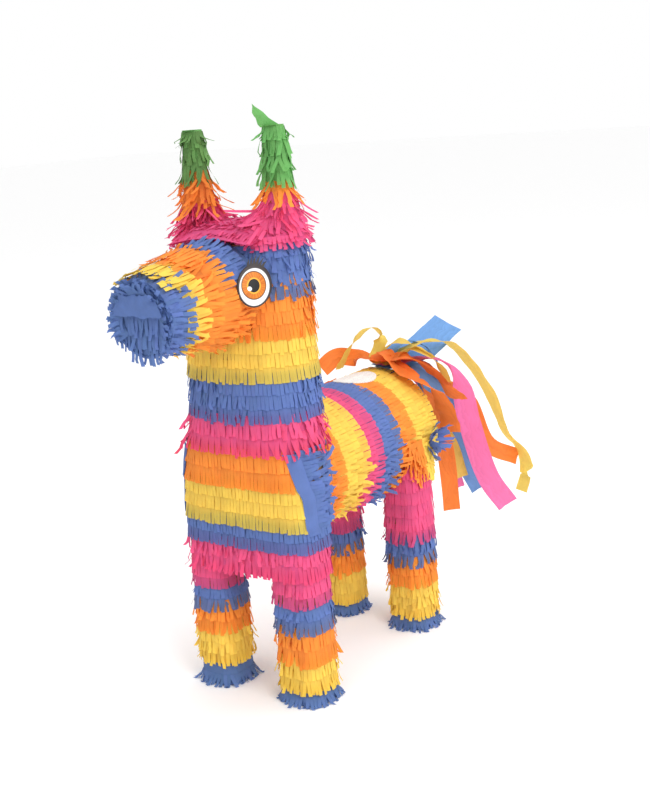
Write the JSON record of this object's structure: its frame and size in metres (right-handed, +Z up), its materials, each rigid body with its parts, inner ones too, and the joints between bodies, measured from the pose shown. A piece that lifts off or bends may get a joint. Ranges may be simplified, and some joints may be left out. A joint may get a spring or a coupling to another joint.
{
  "type": "pinata",
  "caption": "Donkey-shaped party pinata: card body on stub legs with upright ears and a snout, covered in striped tissue fringe, with a paper-strip tail and a fill flap in its back.",
  "frame": {"origin": "on the ground, under the middle of the whole length and width", "axes": "+Z up, the nose towards -Y, the donkey's left side towards +X"},
  "size_m": [0.164, 0.5952, 0.582],
  "materials": {
    "card": "matt",
    "label": "satin",
    "eye_card": "satin",
    "fringe_blue": "matt",
    "fringe_pink": "matt",
    "fringe_orange": "matt",
    "fringe_yellow": "matt",
    "fringe_green": "matt",
    "streamer_blue": "matt",
    "streamer_pink": "matt",
    "streamer_orange": "matt",
    "streamer_yellow": "matt"
  },
  "bodies": {
    "pinata": {"column_shell": "card", "body_shell": "card", "snout_shell": "card", "ear_l_card": "card", "ear_r_card": "card", "leg_fl_card": "card", "leg_fr_card": "card", "leg_rl_card": "card", "leg_rr_card": "card", "head_fringe_pink": "fringe_pink", "head_fringe_blue": "fringe_blue", "head_fringe_orange": "fringe_orange", "head_fringe_yellow": "fringe_yellow", "neck_fringe_blue": "fringe_blue", "neck_fringe_pink": "fringe_pink", "chest_fringe_orange": "fringe_orange", "chest_fringe_yellow": "fringe_yellow", "chest_fringe_blue": "fringe_blue", "chest_fringe_pink": "fringe_pink", "body_fringe_orange_front": "fringe_orange", "body_fringe_yellow_front": "fringe_yellow", "body_fringe_pink": "fringe_pink", "body_fringe_blue": "fringe_blue", "body_fringe_orange_rear": "fringe_orange", "body_fringe_yellow_rear": "fringe_yellow", "rump_fringe_blue": "fringe_blue", "snout_fringe_collar": "fringe_blue", "snout_fringe_orange": "fringe_orange", "snout_fringe_yellow": "fringe_yellow", "snout_fringe_blue": "fringe_blue", "ear_l_fringe_orange": "fringe_orange", "ear_l_fringe_green": "fringe_green", "ear_r_fringe_orange": "fringe_orange", "ear_r_fringe_green": "fringe_green", "leg_fl_fringe_blue": "fringe_blue", "leg_fl_fringe_orange": "fringe_orange", "leg_fl_fringe_yellow": "fringe_yellow", "leg_fl_fringe_foot": "fringe_blue", "leg_fr_fringe_blue": "fringe_blue", "leg_fr_fringe_orange": "fringe_orange", "leg_fr_fringe_yellow": "fringe_yellow", "leg_fr_fringe_foot": "fringe_blue", "leg_rl_fringe_pink": "fringe_pink", "leg_rl_fringe_blue": "fringe_blue", "leg_rl_fringe_orange": "fringe_orange", "leg_rl_fringe_yellow": "fringe_yellow", "leg_rl_fringe_foot": "fringe_blue", "leg_rr_fringe_pink": "fringe_pink", "leg_rr_fringe_blue": "fringe_blue", "leg_rr_fringe_orange": "fringe_orange", "leg_rr_fringe_yellow": "fringe_yellow", "leg_rr_fringe_foot": "fringe_blue", "eye_l": "eye_card", "eye_r": "eye_card", "tail_blue": "streamer_blue", "tail_pink": "streamer_pink", "tail_yellow": "streamer_yellow", "tail_orange": "streamer_orange"},
    "flap": {"fill_flap": "card", "fill_label": "label"}
  },
  "joints": [
    {"name": "fill_flap_hinge", "type": "hinge", "parent": "pinata", "child": "flap", "pos_m": [-0.027, 0.02414, 0.27854], "axis": [0, -1, 0], "range_deg": [0, 100]}
  ]
}
